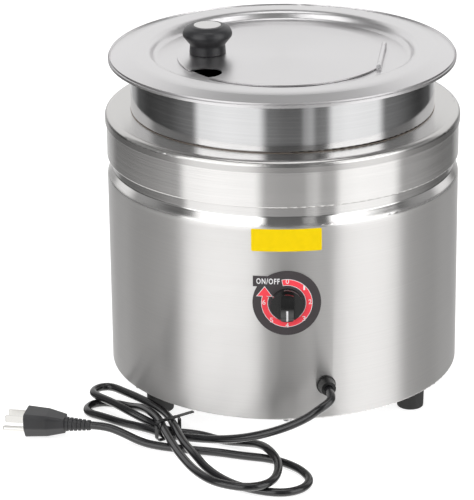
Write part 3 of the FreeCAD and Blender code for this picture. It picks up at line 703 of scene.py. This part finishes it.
def add_pointer(steps=16):
    """A white line on the lower half of the grip's front, on the curve of its face."""
    front = -(shell_radius + dial_sheet + knob_standoff + knob_reach)
    corners = []
    for k in range(steps + 1):
        drop = pointer_top + (pointer_bottom - pointer_top) * k / steps
        back = knob_brow_radius - math.sqrt(knob_brow_radius ** 2 - drop ** 2)
        for side in (-1, 1):
            for proud in (-pointer_sink, pointer_proud):
                corners.append(mm(side * pointer_width / 2, front + back - proud, dial_height - drop))
    mesh_piece("knob_pointer", corners, bar_faces(steps, turned=True), "white", "dial")


def add_neck_seam(steps=180):
    """A dark brownish ring of painted shade where the pot's neck stands on the ledge."""
    corners = []
    faces = []
    count = len(shade_ring_section)
    for k in range(steps):
        turn = 2 * math.pi * k / steps
        for out, up in shade_ring_section:
            radius = neck_radius + out
            corners.append(mm(radius * math.cos(turn), radius * math.sin(turn), deck_top + up))
        a = count * k
        b = count * ((k + 1) % steps)
        for side in range(count):
            following = (side + 1) % count
            faces.append((a + side, b + side, b + following, a + following))
    mesh_piece("neck_painted_shade", corners, faces, "neck_shade", "pot")


def add_floor():
    """A pale floor that keeps the kettle's shadow; glossy rays see the studio's ground instead."""
    half = floor_size / 2
    data = bpy.data.meshes.new("floor")
    corners = [(-half, -half, 0), (half, -half, 0), (half, half, 0), (-half, half, 0)]
    data.from_pydata(corners, [], [(0, 1, 2, 3)])
    floor = in_scene("floor", data)
    material = bpy.data.materials.new("floor_white")
    material.use_nodes = True
    kit = Nodes(material.node_tree)
    diffuse = kit.add("ShaderNodeBsdfDiffuse")
    diffuse.inputs["Color"].default_value = (*grey(floor_tone), 1)
    glow = kit.add("ShaderNodeEmission")
    path = kit.add("ShaderNodeLightPath")
    kit.link(kit.math("MULTIPLY", path.outputs["Is Camera Ray"], floor_glow), glow.inputs["Strength"])
    both = kit.add("ShaderNodeAddShader")
    kit.link(diffuse.outputs[0], both.inputs[0])
    kit.link(glow.outputs[0], both.inputs[1])
    output = kit.add("ShaderNodeOutputMaterial")
    kit.link(both.outputs[0], output.inputs["Surface"])
    data.materials.append(material)
    floor.visible_glossy = False


# Studio round the kettle: bearing in degrees from the front, to the right, and brightness
studio_walls = [
    (-180, 0.95),
    (-166, 0.70),
    (-152, 0.45),
    (-138, 0.10),
    (-120, 0.05),
    (-98, 0.07),
    (-73, 0.18),
    (-65, 1.10),
    (-44, 1.22),
    (-20, 1.14),
    (-11, 0.20),
    (2, 0.13),
    (12, 0.13),
    (16, 0.40),
    (20, 0.52),
    (25, 0.20),
    (31, 0.24),
    (38, 1.10),
    (50, 1.22),
    (74, 1.16),
    (83, 0.20),
    (124, 0.05),
    (142, 0.10),
    (154, 0.45),
    (168, 0.70),
    (180, 0.95),
]

# The same higher up, where the panels are brighter and the gaps between them stay dark
studio_ceiling = [
    (-180, 0.60),
    (-152, 1.10),
    (-134, 0.80),
    (-112, 0.40),
    (-72, 0.36),
    (-65, 2.75),
    (-19, 2.75),
    (-12, 0.18),
    (12, 0.16),
    (16, 0.50),
    (21, 0.60),
    (25, 0.18),
    (31, 0.22),
    (37, 2.75),
    (75, 2.75),
    (83, 0.36),
    (112, 0.40),
    (134, 0.80),
    (152, 1.10),
    (180, 0.60),
]

# The ground, the dark belts, the backdrop, the bright top and the dark above the backdrop
studio_ground = (1.4, 1.39, 1.38)
studio_belt = grey(0.10)
studio_backdrop = (0.95, 0.945, 0.94)
studio_overhead = grey(1.9)
studio_rear = grey(0.24)

# Where each shows, by a direction's height from 0 straight down to 1 straight up: height and share
ceiling_by_rise = [(0.46, 0.0), (0.60, 1.0)]
ground_by_rise = [(0.18, 1.0), (0.30, 0.46), (0.334, 0.0)]

# By its height above the horizon, up to 1 straight up
belt_by_height = [(0.40, 0.0), (0.45, 1.0), (0.54, 1.0), (0.59, 0.0), (0.71, 0.0), (0.76, 1.0)]
backdrop_by_height = [(0.02, 0.0), (0.12, 1.0), (0.66, 1.0), (0.74, 0.0)]
overhead_by_height = [(0.90, 0.0), (0.95, 1.0)]
rear_by_height = [(0.66, 0.0), (0.74, 1.0)]

# By how far it points to the back, up to 1 straight back
backdrop_by_depth = [(0.35, 0.0), (0.62, 1.0)]
rear_by_depth = [(0.02, 0.0), (0.20, 1.0)]


def add_world():
    """White for camera rays and for mirrored rays towards the backdrop; the studio for the rest."""
    world = bpy.data.worlds.new("studio")
    bpy.context.scene.world = world
    world.use_nodes = True
    kit = Nodes(world.node_tree)
    x, y, z = kit.split(kit.add("ShaderNodeTexCoord").outputs["Generated"])
    bearing = kit.math("ARCTAN2", x, kit.math("MULTIPLY", y, -1.0))
    turn = kit.math("ADD", kit.math("DIVIDE", bearing, 2 * math.pi), 0.5)
    rise = kit.math("ADD", kit.math("MULTIPLY", z, 0.5), 0.5)

    def by_bearing(panels):
        return kit.ramp(turn, [((angle + 180) / 360, tone) for angle, tone in panels], "EASE")

    def by_height_and_depth(heights, depths):
        return kit.math("MULTIPLY", kit.ramp(z, heights, "EASE"), kit.ramp(y, depths, "EASE"))

    above = kit.ramp(rise, ceiling_by_rise, "EASE")
    backdrop = by_height_and_depth(backdrop_by_height, backdrop_by_depth)
    rear = by_height_and_depth(rear_by_height, rear_by_depth)
    colour = kit.mix(above, by_bearing(studio_walls), by_bearing(studio_ceiling))
    colour = kit.mix(kit.ramp(rise, ground_by_rise), colour, studio_ground)
    colour = kit.mix(kit.ramp(z, belt_by_height, "EASE"), colour, studio_belt)
    colour = kit.mix(backdrop, colour, studio_backdrop)
    colour = kit.mix(kit.ramp(z, overhead_by_height, "EASE"), colour, studio_overhead)
    colour = kit.mix(rear, colour, studio_rear)
    studio = kit.add("ShaderNodeBackground")
    kit.link(colour, studio.inputs["Color"])
    white = kit.add("ShaderNodeBackground")
    white.inputs["Color"].default_value = (1, 1, 1, 1)
    path = kit.add("ShaderNodeLightPath")
    mirrored = kit.math("MAXIMUM", path.outputs["Is Glossy Ray"], path.outputs["Is Transmission Ray"])
    seen = kit.math("MAXIMUM", path.outputs["Is Camera Ray"], kit.math("MULTIPLY", mirrored, backdrop))
    choose = kit.add("ShaderNodeMixShader")
    kit.link(seen, choose.inputs[0])
    kit.link(studio.outputs[0], choose.inputs[1])
    kit.link(white.outputs[0], choose.inputs[2])
    output = kit.add("ShaderNodeOutputWorld")
    kit.link(choose.outputs[0], output.inputs["Surface"])


def add_lamp(name, place, target, size, power):
    """A soft round lamp: place, target and size in metres, power in watts."""
    data = bpy.data.lights.new(name, "AREA")
    data.shape = "DISK"
    data.size = size
    data.energy = power
    lamp = in_scene(name, data)
    lamp.location = place
    lamp.rotation_euler = (Vector(target) - Vector(place)).to_track_quat("-Z", "Y").to_euler()
    lamp.visible_glossy = False


bpy.context.scene.view_settings.view_transform = "Standard"
add_camera()
for node, name in node_materials.items():
    dress(nodes[node], name)
add_cord()
add_label()
add_dial_print()
add_pointer()
add_neck_seam()
add_floor()
add_world()
add_lamp("overhead", place=(0.1, -0.2, 1.8), target=(0, 0, 0.1), size=1.6, power=13)
add_lamp("front", place=(-0.5, -2.3, 1.2), target=(0, 0, 0.12), size=1.4, power=16)
